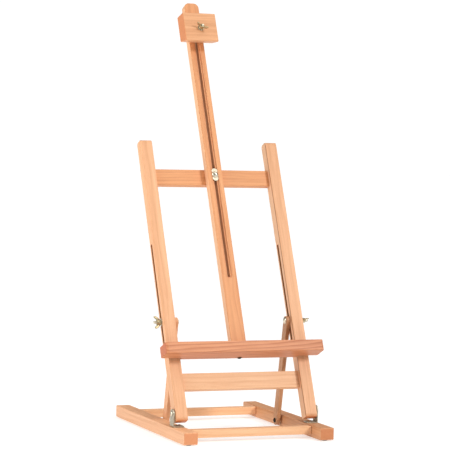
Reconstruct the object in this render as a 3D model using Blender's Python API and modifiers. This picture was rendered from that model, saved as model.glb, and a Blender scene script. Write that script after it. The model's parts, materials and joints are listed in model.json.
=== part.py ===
# Tabletop H-frame easel: two runners on rails, a hinged frame held by two slotted struts,
# a sliding mast with its tray, and a clamp block that holds the top of a canvas.
# X runs to the right, Y to the back and Z up. Heights on the frame are measured along it from its foot.
import math

import bmesh
import bpy

MM = 0.001
GAP = 0.3 * MM  # left between any two pieces that touch
HOLE_PLAY = 0.3 * MM  # added to a shank's radius for its hole

BASE_WIDTH = 315 * MM
RUNNER_LENGTH = 400 * MM
RUNNER_WIDTH = 28.4 * MM
RUNNER_HEIGHT = 24 * MM
RUNNER_CORNER = 3 * MM
PAD_HEIGHT = 2 * MM
PAD_RADIUS = 5.5 * MM
PAD_INSET = 14 * MM
RAIL_HEIGHT = 16 * MM
RAIL_DEPTH = 18 * MM
RAIL_RISE = 6 * MM  # from the runners' bottom
FRONT_RAIL_SETBACK = 44 * MM
REAR_RAIL_SETBACK = 54 * MM
TENON_LENGTH = 12 * MM
TENON_MARGIN = 3 * MM  # how much smaller a tenon is than its bar, on each side

LEAN = math.radians(24.5)
FRAME_STEP = 3.6 * MM  # how far the uprights' inner faces are inside the runners'
UPRIGHT_WIDTH = 24.5 * MM
UPRIGHT_DEPTH = 23 * MM
UPRIGHT_LENGTH = 594 * MM
UPRIGHT_CORNER = 6 * MM
CROSSBAR_THICKNESS = 13 * MM
CROSSBAR_HEIGHT = 34 * MM
LOWER_BAR_HEIGHT = 81 * MM
UPPER_BAR_DROP = 78 * MM  # from the uprights' top to the bar's middle
HINGE_SETBACK = 78.9 * MM
HINGE_RISE = 25.8 * MM  # above the runners
HINGE_FROM_FOOT = 16.5 * MM
HINGE_FROM_FRONT = 10.5 * MM
EAR_RADIUS = 9.5 * MM
PLATE = 2.4 * MM
LEG_REACH = 23 * MM
LEG_SCREW_REACH = 16.2 * MM  # from the ear's outer face
LEG_SCREW_LENGTH = 15 * MM
HINGE_SCREW_LENGTH = 18 * MM
WASHER = 1.2 * MM

STRUT_WIDTH = 18.4 * MM
STRUT_THICKNESS = 8.2 * MM
STRUT_SETBACK = 200 * MM
STRUT_RISE = 12 * MM  # from the runners' bottom
PIVOT_GRIP = 16 * MM  # of the pivot screw, from the runner's inner face
PIVOT_WALL = 10 * MM  # left between its hole and the runner's outer face
BOLT_AT_REST = 206 * MM  # height of the slot bolts on the frame
SLOT_FROM_FRONT = 14.5 * MM
SLOT_PLAY = 0.5 * MM  # on each side of a slot bolt
SLOT_SPARE = 21 * MM  # above the bolt when folded flat

MAST_WIDTH = 32 * MM
MAST_THICKNESS = 16.5 * MM
MAST_TOP = 907 * MM
MAST_CORNER = 11 * MM
MAST_PLAY = 0.5 * MM  # between the mast and the crossbars
CHANNEL_WIDTH = 13 * MM
CHANNEL_DEPTH = 3 * MM
CHANNEL_BOTTOM = 291 * MM
CHANNEL_DROP = 38 * MM  # from the mast's top to the channel's
SLOT_LIP = 2.5 * MM  # from the channel's end to the narrow slot's
MAST_SLOT_PLAY = 0.4 * MM
PLATE_LENGTH = 27 * MM
PLATE_PROUD = 0.1 * MM  # ahead of the mast's front

TRAY_BOTTOM = 125 * MM
TRAY_HEIGHT = 22 * MM
TRAY_OVERHANG = 18 * MM  # past the frame on each side
TRAY_FRONT = 41.5 * MM  # ahead of the frame's front
TRAY_TONGUE = 5 * MM  # behind the frame's front, between the uprights
TRAY_CLEARANCE = 4.5 * MM  # between its ends and the uprights
TRAY_CORNER = 5 * MM
DOWEL_SPREAD = 9 * MM
DOWEL_FORWARD = -0.5 * MM
DOWEL_RADIUS = 3 * MM
DOWEL_UP = 12 * MM  # into the mast
DOWEL_DOWN = 9 * MM  # into the tray
DOWEL_SPARE = 1 * MM  # at the bottom of a blind hole
TRAY_SCREW_LENGTH = 34 * MM

BLOCK_WIDTH = 72 * MM
BLOCK_DEPTH = 33.7 * MM
BLOCK_HEIGHT = 65 * MM
BLOCK_DROP = 105 * MM  # from the mast's top to the block's lowest edge
BLOCK_UNDERCUT = 12.5 * MM
BLOCK_TOP_RISE = 4 * MM
BLOCK_CORNER = 2 * MM
BLOCK_BOLT_RISE = 31 * MM  # from the block's lowest edge
KEY_LENGTH = 26 * MM
KEY_DROP = 4 * MM  # from the bolt to the key's middle
KEY_PLAY = 0.3 * MM

M6 = 3 * MM
M5 = 2.5 * MM
M4 = 2 * MM
WING_REACH = 13.5 * MM
WING_HEIGHT = 14.5 * MM
WING_THICKNESS = 2.4 * MM
HUB_RADIUS = 5.8 * MM
HUB_HEIGHT = 8.5 * MM
BOLT_TIP = 0.5 * MM  # from the clamp bolt's end back to its nut's wing tips
SMALL_WASHER = 7 * MM  # outer radius
LARGE_WASHER = 7.5 * MM
SPACER_RADIUS = 6 * MM
EDGE = 0.8 * MM

# Heads of the screws and bolts: radius and height.
HINGE_HEAD = (5 * MM, 3 * MM)
LEG_HEAD = (3.8 * MM, 2.2 * MM)
PIVOT_HEAD = (5 * MM, 2.5 * MM)
SLOT_HEAD = (7 * MM, 3.5 * MM)
MAST_HEAD = (7 * MM, 4.5 * MM)
CLAMP_HEAD = (6.5 * MM, 3.5 * MM)
TRAY_HEAD = (4.2 * MM, 2.2 * MM)

# What follows from the sizes above.
FLOOR_TO_WOOD = PAD_HEIGHT
RUNNER_TOP = FLOOR_TO_WOOD + RUNNER_HEIGHT
RUNNER_INSIDE = BASE_WIDTH / 2 - RUNNER_WIDTH
RAIL_SETBACKS = (FRONT_RAIL_SETBACK, RUNNER_LENGTH - REAR_RAIL_SETBACK - RAIL_DEPTH)
RAIL_MIDDLE = FLOOR_TO_WOOD + RAIL_RISE + RAIL_HEIGHT / 2
UPRIGHT_INSIDE = RUNNER_INSIDE - FRAME_STEP
FRAME_WIDTH = 2 * (UPRIGHT_INSIDE + UPRIGHT_WIDTH)
UPPER_BAR_HEIGHT = UPRIGHT_LENGTH - UPPER_BAR_DROP
BAR_MIDDLE = CROSSBAR_THICKNESS / 2 - UPRIGHT_DEPTH
EAR_INSIDE = FRAME_WIDTH / 2 + GAP + WASHER + GAP
LEG_SCREW_X = EAR_INSIDE + PLATE - LEG_SCREW_REACH
HINGE_HEIGHT = RUNNER_TOP + HINGE_RISE
STRUT_HEIGHT = FLOOR_TO_WOOD + STRUT_RISE
STRUT_OUTSIDE = UPRIGHT_INSIDE - GAP
STRUT_INSIDE = STRUT_OUTSIDE - STRUT_THICKNESS
MAST_BACK = UPRIGHT_DEPTH - CROSSBAR_THICKNESS - MAST_PLAY  # behind the frame's front
MAST_FRONT = MAST_THICKNESS - MAST_BACK  # ahead of it
MAST_BOTTOM = TRAY_BOTTOM + TRAY_HEIGHT + GAP
TRAY_WIDTH = FRAME_WIDTH + 2 * TRAY_OVERHANG
DOWELS = ((-DOWEL_SPREAD, DOWEL_RADIUS), (0, M4), (DOWEL_SPREAD, DOWEL_RADIUS))
CHANNEL_TOP = MAST_TOP - CHANNEL_DROP
BLOCK_FRONT_BOTTOM = MAST_TOP - BLOCK_DROP
BLOCK_FRONT_TOP = BLOCK_FRONT_BOTTOM + BLOCK_HEIGHT
BLOCK_BOLT_HEIGHT = BLOCK_FRONT_BOTTOM + BLOCK_BOLT_RISE


def frame_to_base(height, forward, lean):
    """(y, z) of a place on the frame, `forward` of its front face, at a lean."""
    up = height - HINGE_FROM_FOOT
    out = forward + HINGE_FROM_FRONT
    return (
        HINGE_SETBACK + up * math.sin(lean) - out * math.cos(lean),
        HINGE_HEIGHT + up * math.cos(lean) + out * math.sin(lean),
    )


def bolt_height(lean, strut_length):
    """How far up the frame the strut's top bolt is at a lean."""
    foot_y, foot_z = frame_to_base(0, -SLOT_FROM_FRONT, lean)
    across = foot_y - STRUT_SETBACK
    above = foot_z - STRUT_HEIGHT
    along = across * math.sin(lean) + above * math.cos(lean)
    return -along + math.sqrt(along**2 - across**2 - above**2 + strut_length**2)


BOLT_Y, BOLT_Z = frame_to_base(BOLT_AT_REST, -SLOT_FROM_FRONT, LEAN)
STRUT_LENGTH = math.hypot(BOLT_Y - STRUT_SETBACK, BOLT_Z - STRUT_HEIGHT)
STRUT_LEAN = math.atan2(STRUT_SETBACK - BOLT_Y, BOLT_Z - STRUT_HEIGHT)
SLOT_RADIUS = M6 + SLOT_PLAY
SLOT_BOTTOM = bolt_height(0, STRUT_LENGTH) - M6 - SLOT_PLAY
SLOT_TOP = bolt_height(math.pi / 2, STRUT_LENGTH) + M6 + SLOT_SPARE
REACH_BACK = frame_to_base(MAST_TOP - EDGE, -MAST_BACK, LEAN)[0]


def clear_scene():
    for item in list(bpy.data.objects):
        bpy.data.objects.remove(item)


clear_scene()
easel = bpy.data.collections.new("easel")
cutters = bpy.data.collections.new("cutters")
for folder in (easel, cutters):
    bpy.context.scene.collection.children.link(folder)
cutters.hide_render = True


def wood_or_metal(name, color, roughness, metallic):
    material = bpy.data.materials.new(name)
    material.use_nodes = True
    shader = material.node_tree.nodes["Principled BSDF"]
    shader.inputs["Base Color"].default_value = (*color, 1)
    shader.inputs["Roughness"].default_value = roughness
    shader.inputs["Metallic"].default_value = metallic
    return material


beech = wood_or_metal("beech", (0.78, 0.43, 0.22), 0.45, 0)
rosy_beech = wood_or_metal("rosy_beech", (0.68, 0.31, 0.15), 0.45, 0)
pale_beech = wood_or_metal("pale_beech", (0.86, 0.54, 0.29), 0.45, 0)
zinc = wood_or_metal("zinc", (0.6, 0.56, 0.47), 0.35, 1)
brass = wood_or_metal("brass", (0.48, 0.36, 0.16), 0.38, 1)
dark_steel = wood_or_metal("dark_steel", (0.06, 0.05, 0.045), 0.45, 1)
rubber = wood_or_metal("rubber", (0.03, 0.03, 0.03), 0.8, 0)


def empty(name, parent, at, turn=0.0):
    item = bpy.data.objects.new(name, None)
    easel.objects.link(item)
    item.empty_display_size = 20 * MM
    item.parent = parent
    item.location = at
    item.rotation_euler = (turn, 0, 0)
    return item


origin = empty("floor_centre", None, (0, -REACH_BACK / 2, 0))
hinge_axis = empty("hinge_axis", origin, (0, HINGE_SETBACK, HINGE_HEIGHT), -LEAN)
strut_axis = empty("strut_axis", origin, (0, STRUT_SETBACK, STRUT_HEIGHT), STRUT_LEAN)


def on_frame(x, height, forward):
    """A place on the frame in hinge_axis's own axes."""
    return (x, -forward - HINGE_FROM_FRONT, height - HINGE_FROM_FOOT)


def add_object(name, shape, parent, at, material=None, turn=(0, 0, 0)):
    """Makes an object of a bmesh. `turn` is X, Y and a spin about its own Z."""
    mesh = bpy.data.meshes.new(name)
    bmesh.ops.recalc_face_normals(shape, faces=shape.faces)
    shape.to_mesh(mesh)
    shape.free()
    item = bpy.data.objects.new(name, mesh)
    (easel if material else cutters).objects.link(item)
    item.parent = parent
    item.location = at
    item.rotation_mode = "ZYX"
    item.rotation_euler = turn
    if material:
        mesh.materials.append(material)
    else:
        item.hide_render = True
        item.display_type = "WIRE"
    return item


def rounded(corners, steps=4):
    """An outline from (a, b, radius) corners, with arcs where the radius isn't 0."""
    outline = []
    for i, (a, b, radius) in enumerate(corners):
        if radius == 0:
            outline.append((a, b))
            continue
        before, after = corners[i - 1], corners[(i + 1) % len(corners)]
        angle_in = math.atan2(before[1] - b, before[0] - a)
        angle_out = math.atan2(after[1] - b, after[0] - a)
        half = ((angle_out - angle_in + math.pi) % math.tau - math.pi) / 2
        middle = angle_in + half
        reach = radius / math.sin(abs(half))
        centre = (a + reach * math.cos(middle), b + reach * math.sin(middle))
        swing = math.pi / 2 - abs(half)
        sign = 1 if half > 0 else -1
        for step in range(steps + 1):
            turn = middle + math.pi + sign * swing * (1 - 2 * step / steps)
            outline.append((centre[0] + radius * math.cos(turn), centre[1] + radius * math.sin(turn)))
    return outline


def stadium(low, high, radius, steps=10):
    """A slot's outline along b, between the two ends of its round stretches."""
    outline = []
    for middle, start in ((high - radius, 0), (low + radius, math.pi)):
        for step in range(steps + 1):
            turn = start + math.pi * step / steps
            outline.append((radius * math.cos(turn), middle + radius * math.sin(turn)))
    return outline


def prism(outline, axis, low, high):
    """A bmesh of an outline in the other two axes, drawn out along `axis`."""
    places = {
        "X": lambda a, b, c: (c, a, b),
        "Y": lambda a, b, c: (a, c, b),
        "Z": lambda a, b, c: (a, b, c),
    }
    place = places[axis]
    shape = bmesh.new()
    rings = [[shape.verts.new(place(a, b, level)) for a, b in outline] for level in (low, high)]
    shape.faces.new(reversed(rings[0]))
    shape.faces.new(rings[1])
    count = len(outline)
    for i in range(count):
        j = (i + 1) % count
        shape.faces.new((rings[0][i], rings[0][j], rings[1][j], rings[1][i]))
    return shape


def box(size, centre=(0, 0, 0)):
    shape = bmesh.new()
    bmesh.ops.create_cube(shape, size=1)
    bmesh.ops.scale(shape, vec=size, verts=shape.verts)
    bmesh.ops.translate(shape, vec=centre, verts=shape.verts)
    return shape


def circle(radius, steps=24):
    return [
        (radius * math.cos(math.tau * i / steps), radius * math.sin(math.tau * i / steps))
        for i in range(steps)
    ]


def ease_edges(item, width=EDGE, segments=2):
    bevel = item.modifiers.new("eased edges", "BEVEL")
    bevel.width = width
    bevel.segments = segments
    bevel.limit_method = "ANGLE"
    bevel.angle_limit = math.radians(40)


def combine(item, other, operation):
    boolean = item.modifiers.new(other.name, "BOOLEAN")
    boolean.operation = operation
    boolean.solver = "EXACT"
    boolean.object = other


def cut(item, shape, at=(0, 0, 0), turn=(0, 0, 0)):
    """Cuts a bmesh, placed in the item's parent's axes, out of the item."""
    cutter = add_object(f"cut in {item.name}", shape, item.parent, at, turn=turn)
    combine(item, cutter, "DIFFERENCE")


def join(item, shape, at=(0, 0, 0), turn=(0, 0, 0)):
    cutter = add_object(f"joined to {item.name}", shape, item.parent, at, turn=turn)
    combine(item, cutter, "UNION")


def hole(item, at, radius, axis, low, high, steps=20):
    """A round hole through `at` along an axis of the parent, from low to high beside `at`."""
    cut(item, prism(circle(radius, steps), axis, low, high), at)


def smooth(item):
    item.data.shade_smooth()
    item.data.set_sharp_from_angle(angle=math.radians(35))


def turned(name, profile, parent, at, material, turn=(0, 0, 0), steps=24, ring=False):
    """A turned piece: its (radius, height) profile runs from top to bottom on the outside."""
    shape = bmesh.new()
    points = [shape.verts.new((radius, 0, height)) for radius, height in profile]
    for first, second in zip(points, points[1:]):
        shape.edges.new((first, second))
    if ring:
        shape.edges.new((points[-1], points[0]))
    item = add_object(name, shape, parent, at, material, turn)
    lathe = item.modifiers.new("lathe", "SCREW")
    lathe.axis = "Z"
    lathe.steps = steps
    lathe.render_steps = steps
    lathe.use_merge_vertices = True
    lathe.merge_threshold = 1e-6
    lathe.use_smooth_shade = True
    return item


def dome(radius, height, base, steps=5):
    """The profile of a shallow dome from its top to its rim at `base`."""
    ball = (radius**2 + height**2) / (2 * height)
    spread = math.asin(min(1, radius / ball))
    return [
        (ball * math.sin(spread * i / steps), base + height - ball + ball * math.cos(spread * i / steps))
        for i in range(steps + 1)
    ]


def pin(radius, top, bottom, chamfer=0.4 * MM):
    """The profile of a plain round pin with eased ends."""
    return [
        (0, top),
        (radius - chamfer, top),
        (radius, top - chamfer),
        (radius, bottom + chamfer),
        (radius - chamfer, bottom),
        (0, bottom),
    ]


def screw(name, head, shank_radius, length, parent, at, material, turn):
    """A round-headed screw whose head sits on `at` and whose shank runs down its own Z."""
    head_radius, head_height = head
    rim = 0.6 * MM
    profile = dome(head_radius, head_height - rim, rim)
    profile += [(head_radius, 0), (shank_radius, 0), (shank_radius, -length + 0.8 * MM)]
    profile += [(shank_radius - 0.8 * MM, -length), (0, -length)]
    return turned(name, profile, parent, at, material, turn)


def washer(name, outside, inside, thickness, parent, at, material, turn):
    """A washer whose lower face is at `at`."""
    ease = 0.2 * MM
    profile = [
        (inside, thickness),
        (outside - ease, thickness),
        (outside, thickness - ease),
        (outside, ease),
        (outside - ease, 0),
        (inside, 0),
    ]
    return turned(name, profile, parent, at, material, turn, ring=True)


def wing_nut(name, bolt_radius, parent, at, turn):
    """A wing nut whose base is at `at` and whose axis is its own Z."""
    hub = prism(circle(HUB_RADIUS), "Z", 0, HUB_HEIGHT)
    for vert in hub.verts:
        if vert.co.z > HUB_HEIGHT / 2:
            vert.co.x *= 0.8
            vert.co.y *= 0.8
    item = add_object(name, hub, parent, at, brass, turn)
    half_wing = [
        (0, 1.2 * MM),
        (0.45 * WING_REACH, 1.2 * MM),
        (0.8 * WING_REACH, 0.3 * WING_HEIGHT),
        (0.97 * WING_REACH, 0.62 * WING_HEIGHT),
        (WING_REACH, 0.82 * WING_HEIGHT),
        (0.95 * WING_REACH, 0.95 * WING_HEIGHT),
        (0.84 * WING_REACH, WING_HEIGHT),
        (0.7 * WING_REACH, 0.92 * WING_HEIGHT),
        (0.52 * WING_REACH, 0.62 * WING_HEIGHT),
        (0.3 * WING_REACH, 0.5 * WING_HEIGHT),
    ]
    wings = half_wing + [(-a, b) for a, b in reversed(half_wing[1:])]
    join(item, prism(wings, "Y", -WING_THICKNESS / 2, WING_THICKNESS / 2), at, turn)
    bore = prism(circle(bolt_radius + HOLE_PLAY, 20), "Z", -WING_HEIGHT, 2 * WING_HEIGHT)
    cut(item, bore, at, turn)
    smooth(item)
    return item


SIDES = (("left", -1), ("right", 1))


def facing(side):
    """The turn that points a piece's own Z outwards, along X."""
    return (0, side * math.pi / 2, 0)


def runner(label, side):
    low, high = FLOOR_TO_WOOD, RUNNER_TOP
    outline = rounded(
        [
            (0, low, RUNNER_CORNER),
            (RUNNER_LENGTH, low, RUNNER_CORNER),
            (RUNNER_LENGTH, high, RUNNER_CORNER),
            (0, high, RUNNER_CORNER),
        ]
    )
    centre = side * (RUNNER_INSIDE + RUNNER_WIDTH / 2)
    shape = prism(outline, "X", -RUNNER_WIDTH / 2, RUNNER_WIDTH / 2)
    item = add_object(f"{label}_runner", shape, origin, (centre, 0, 0), beech)
    ease_edges(item)
    for setback in RAIL_SETBACKS:
        mortise = box(
            (
                2 * (TENON_LENGTH + GAP),
                RAIL_DEPTH - 2 * TENON_MARGIN + 2 * GAP,
                RAIL_HEIGHT - 2 * TENON_MARGIN + 2 * GAP,
            )
        )
        cut(item, mortise, (side * RUNNER_INSIDE, setback + RAIL_DEPTH / 2, RAIL_MIDDLE))
    depth = RUNNER_WIDTH - PIVOT_WALL
    at = (side * RUNNER_INSIDE, STRUT_SETBACK, STRUT_HEIGHT)
    hole(item, at, M5 + HOLE_PLAY, "X", -depth, depth)
    at = (side * LEG_SCREW_X, HINGE_SETBACK, RUNNER_TOP)
    depth = LEG_SCREW_LENGTH + GAP
    hole(item, at, M4 + HOLE_PLAY, "Z", -depth, depth)


def cross_rail(name, setback):
    between = 2 * (RUNNER_INSIDE - GAP)
    at = (0, setback + RAIL_DEPTH / 2, RAIL_MIDDLE)
    item = add_object(name, box((between, RAIL_DEPTH, RAIL_HEIGHT)), origin, at, beech)
    ease_edges(item)
    tenon = box(
        (
            2 * (RUNNER_INSIDE + TENON_LENGTH),
            RAIL_DEPTH - 2 * TENON_MARGIN,
            RAIL_HEIGHT - 2 * TENON_MARGIN,
        )
    )
    join(item, tenon, at)


def foot_pad(name, side, setback):
    at = (side * (RUNNER_INSIDE + RUNNER_WIDTH / 2), setback, 0)
    profile = pin(PAD_RADIUS, PAD_HEIGHT - GAP, 0)
    turned(name, profile, origin, at, rubber)


def hinge_bracket(label, side):
    # An L along Y, trimmed to a round-topped ear.
    foot = RUNNER_TOP + GAP
    outside = EAR_INSIDE + PLATE
    angle = [
        (outside - LEG_REACH, foot, 0),
        (outside, foot, 2.8 * MM),
        (outside, HINGE_HEIGHT + 2 * EAR_RADIUS, 0),
        (EAR_INSIDE, HINGE_HEIGHT + 2 * EAR_RADIUS, 0),
        (EAR_INSIDE, foot + PLATE, 0.4 * MM),
        (outside - LEG_REACH, foot + PLATE, 0),
    ]
    outline = [(side * a, b) for a, b in rounded(angle, 3)]
    at = (0, HINGE_SETBACK, 0)
    shape = prism(outline, "Y", -2 * EAR_RADIUS, 2 * EAR_RADIUS)
    item = add_object(f"{label}_hinge_bracket", shape, origin, at, zinc)
    ear = stadium(-HINGE_HEIGHT, HINGE_HEIGHT + EAR_RADIUS, EAR_RADIUS, 12)
    trim_shape = prism(ear, "X", 0, side * BASE_WIDTH)
    trim = add_object(f"trim of {label}_hinge_bracket", trim_shape, origin, at)
    combine(item, trim, "INTERSECT")
    middle = side * (EAR_INSIDE + PLATE / 2)
    hole(item, (middle, HINGE_SETBACK, HINGE_HEIGHT), M5 + HOLE_PLAY, "X", -2 * PLATE, 2 * PLATE)
    hole(item, (side * LEG_SCREW_X, HINGE_SETBACK, foot), M4 + HOLE_PLAY, "Z", -PLATE, 2 * PLATE)
    at = (side * LEG_SCREW_X, HINGE_SETBACK, foot + PLATE + GAP)
    length = LEG_SCREW_LENGTH
    screw(f"{label}_bracket_screw", LEG_HEAD, M4, length, origin, at, zinc, (0, 0, 0))


def hinge_screw(label, side):
    head = EAR_INSIDE + PLATE + GAP
    at = (side * head, 0, 0)
    length = HINGE_SCREW_LENGTH
    screw(f"{label}_hinge_screw", HINGE_HEAD, M5, length, hinge_axis, at, zinc, facing(side))
    at = (side * (FRAME_WIDTH / 2 + GAP), 0, 0)
    name = f"{label}_hinge_washer"
    washer(name, SMALL_WASHER, M5 + HOLE_PLAY, WASHER, hinge_axis, at, zinc, facing(side))


def upright(label, side):
    outline = rounded(
        [
            (0, 0, UPRIGHT_CORNER),
            (UPRIGHT_DEPTH, 0, UPRIGHT_CORNER),
            (UPRIGHT_DEPTH, UPRIGHT_LENGTH, UPRIGHT_CORNER),
            (0, UPRIGHT_LENGTH, UPRIGHT_CORNER),
        ]
    )
    at = on_frame(side * (FRAME_WIDTH - UPRIGHT_WIDTH) / 2, 0, 0)
    shape = prism(outline, "X", -UPRIGHT_WIDTH / 2, UPRIGHT_WIDTH / 2)
    item = add_object(f"{label}_upright", shape, hinge_axis, at, beech)
    ease_edges(item)
    slot = prism(stadium(SLOT_BOTTOM, SLOT_TOP, SLOT_RADIUS), "X", -UPRIGHT_WIDTH, UPRIGHT_WIDTH)
    cut(item, slot, on_frame(at[0], 0, -SLOT_FROM_FRONT))
    for height in (LOWER_BAR_HEIGHT, UPPER_BAR_HEIGHT):
        mortise = box(
            (
                2 * (TENON_LENGTH + GAP),
                CROSSBAR_THICKNESS - 2 * TENON_MARGIN + 2 * GAP,
                CROSSBAR_HEIGHT - 2 * TENON_MARGIN + 2 * GAP,
            )
        )
        cut(item, mortise, on_frame(side * UPRIGHT_INSIDE, height, BAR_MIDDLE))
    depth = HINGE_SCREW_LENGTH - PLATE - WASHER - 2 * GAP
    hole(item, (side * FRAME_WIDTH / 2, 0, 0), M5 + HOLE_PLAY, "X", -depth, depth)


def crossbar(name, height, material):
    at = on_frame(0, height, BAR_MIDDLE)
    between = 2 * (UPRIGHT_INSIDE - GAP)
    bar = box((between, CROSSBAR_THICKNESS, CROSSBAR_HEIGHT))
    item = add_object(name, bar, hinge_axis, at, material)
    ease_edges(item)
    tenon = box(
        (
            2 * (UPRIGHT_INSIDE + TENON_LENGTH),
            CROSSBAR_THICKNESS - 2 * TENON_MARGIN,
            CROSSBAR_HEIGHT - 2 * TENON_MARGIN,
        )
    )
    join(item, tenon, at)
    return item


def mast_bolt(upper_crossbar):
    # The bolt passes from the plate in the mast's channel to the nut behind the crossbar.
    plate_back = MAST_FRONT - CHANNEL_DEPTH + GAP
    plate_front = MAST_FRONT + PLATE_PROUD
    back_of_bar = UPRIGHT_DEPTH
    at = on_frame(0, UPPER_BAR_HEIGHT, 0)
    reach = CROSSBAR_THICKNESS
    middle = on_frame(0, UPPER_BAR_HEIGHT, BAR_MIDDLE)
    hole(upper_crossbar, middle, M5 + HOLE_PLAY, "Y", -reach, reach)
    head = plate_front + GAP
    place = on_frame(0, UPPER_BAR_HEIGHT, head)
    length = head + back_of_bar + WING_HEIGHT
    forward = (math.pi / 2, 0, 0)
    screw("mast_bolt", MAST_HEAD, M5, length, hinge_axis, place, zinc, forward)
    outline = stadium(-PLATE_LENGTH / 2, PLATE_LENGTH / 2, CHANNEL_WIDTH / 2 - KEY_PLAY)
    shape = prism(outline, "Y", -plate_front, -plate_back)
    plate = add_object("mast_bolt_plate", shape, hinge_axis, at, zinc)
    hole(plate, at, M5 + HOLE_PLAY, "Y", -2 * MAST_FRONT, 0)
    backward = (-math.pi / 2, 0, 0)
    washer_at = on_frame(0, UPPER_BAR_HEIGHT, -back_of_bar - GAP)
    bore = M5 + HOLE_PLAY
    washer("mast_nut_washer", LARGE_WASHER, bore, WASHER, hinge_axis, washer_at, zinc, backward)
    nut_at = on_frame(0, UPPER_BAR_HEIGHT, -back_of_bar - WASHER - 2 * GAP)
    wing_nut("mast_wing_nut", M5, hinge_axis, nut_at, (-math.pi / 2, 0, math.radians(65)))


def mast():
    half = MAST_WIDTH / 2
    outline = rounded(
        [
            (-half, 0, 0),
            (half, 0, 0),
            (half, MAST_TOP - MAST_BOTTOM, MAST_CORNER),
            (-half, MAST_TOP - MAST_BOTTOM, MAST_CORNER),
        ],
        8,
    )
    at = on_frame(0, MAST_BOTTOM, 0)
    item = add_object("mast", prism(outline, "Y", -MAST_FRONT, MAST_BACK), hinge_axis, at, beech)
    ease_edges(item)
    foot = on_frame(0, 0, 0)
    channel = stadium(CHANNEL_BOTTOM, CHANNEL_TOP, CHANNEL_WIDTH / 2)
    cut(item, prism(channel, "Y", -2 * MAST_FRONT, CHANNEL_DEPTH - MAST_FRONT), foot)
    slot = stadium(CHANNEL_BOTTOM + SLOT_LIP, CHANNEL_TOP - SLOT_LIP, M5 + MAST_SLOT_PLAY)
    cut(item, prism(slot, "Y", -2 * MAST_FRONT, 2 * MAST_BACK), foot)
    depth = DOWEL_UP + DOWEL_SPARE
    for x, radius in DOWELS:
        at = on_frame(x, MAST_BOTTOM, DOWEL_FORWARD)
        hole(item, at, radius + HOLE_PLAY, "Z", -depth, depth)


def tray():
    half = TRAY_WIDTH / 2
    inner = UPRIGHT_INSIDE - GAP
    outline = rounded(
        [
            (-half, -TRAY_FRONT, TRAY_CORNER),
            (half, -TRAY_FRONT, TRAY_CORNER),
            (half, -TRAY_CLEARANCE, TRAY_CORNER / 2),
            (inner, -TRAY_CLEARANCE, 0),
            (inner, TRAY_TONGUE, 0),
            (-inner, TRAY_TONGUE, 0),
            (-inner, -TRAY_CLEARANCE, 0),
            (-half, -TRAY_CLEARANCE, TRAY_CORNER / 2),
        ]
    )
    at = on_frame(0, TRAY_BOTTOM, 0)
    item = add_object("tray", prism(outline, "Z", 0, TRAY_HEIGHT), hinge_axis, at, rosy_beech)
    ease_edges(item)
    top = TRAY_BOTTOM + TRAY_HEIGHT
    for x, radius in DOWELS:
        depth = 2 * TRAY_HEIGHT if x == 0 else DOWEL_DOWN + DOWEL_SPARE
        hole(item, on_frame(x, top, DOWEL_FORWARD), radius + HOLE_PLAY, "Z", -depth, depth)
        if x == 0:
            continue
        label = "left" if x < 0 else "right"
        profile = pin(radius, DOWEL_UP, -DOWEL_DOWN)
        turned(f"{label}_mast_dowel", profile, hinge_axis, on_frame(x, top, DOWEL_FORWARD), beech)
    at = on_frame(0, TRAY_BOTTOM - GAP, DOWEL_FORWARD)
    upward = (math.pi, 0, 0)
    screw("tray_screw", TRAY_HEAD, M4, TRAY_SCREW_LENGTH, hinge_axis, at, dark_steel, upward)


def clamp():
    back = MAST_FRONT + GAP
    front = back + BLOCK_DEPTH
    outline = rounded(
        [
            (-front, BLOCK_FRONT_BOTTOM, BLOCK_CORNER),
            (-back, BLOCK_FRONT_BOTTOM + BLOCK_UNDERCUT, 0),
            (-back, BLOCK_FRONT_TOP + BLOCK_TOP_RISE, 0),
            (-front, BLOCK_FRONT_TOP, BLOCK_CORNER),
        ]
    )
    foot = on_frame(0, 0, 0)
    shape = prism(outline, "X", -BLOCK_WIDTH / 2, BLOCK_WIDTH / 2)
    item = add_object("clamp_block", shape, hinge_axis, foot, beech)
    ease_edges(item, 1.2 * MM)
    key_back = MAST_FRONT - CHANNEL_DEPTH + KEY_PLAY
    key_size = (CHANNEL_WIDTH - 2 * KEY_PLAY, BLOCK_DEPTH / 2, KEY_LENGTH)
    key_at = on_frame(0, BLOCK_BOLT_HEIGHT - KEY_DROP, key_back + BLOCK_DEPTH / 4)
    join(item, box(key_size), key_at)
    at = on_frame(0, BLOCK_BOLT_HEIGHT, back)
    hole(item, at, M5 + HOLE_PLAY, "Y", -2 * BLOCK_DEPTH, BLOCK_DEPTH)
    length = MAST_BACK + front + WING_HEIGHT - BOLT_TIP
    at = on_frame(0, BLOCK_BOLT_HEIGHT, -MAST_BACK - GAP)
    forward = (math.pi / 2, 0, 0)
    backward = (-math.pi / 2, 0, 0)
    screw("clamp_bolt", CLAMP_HEAD, M5, length, hinge_axis, at, zinc, backward)
    at = on_frame(0, BLOCK_BOLT_HEIGHT, front + GAP)
    washer("clamp_washer", SMALL_WASHER, M5 + HOLE_PLAY, WASHER, hinge_axis, at, zinc, forward)
    at = on_frame(0, BLOCK_BOLT_HEIGHT, front + WASHER + 2 * GAP)
    wing_nut("clamp_wing_nut", M5, hinge_axis, at, (math.pi / 2, 0, math.radians(-27)))


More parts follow.
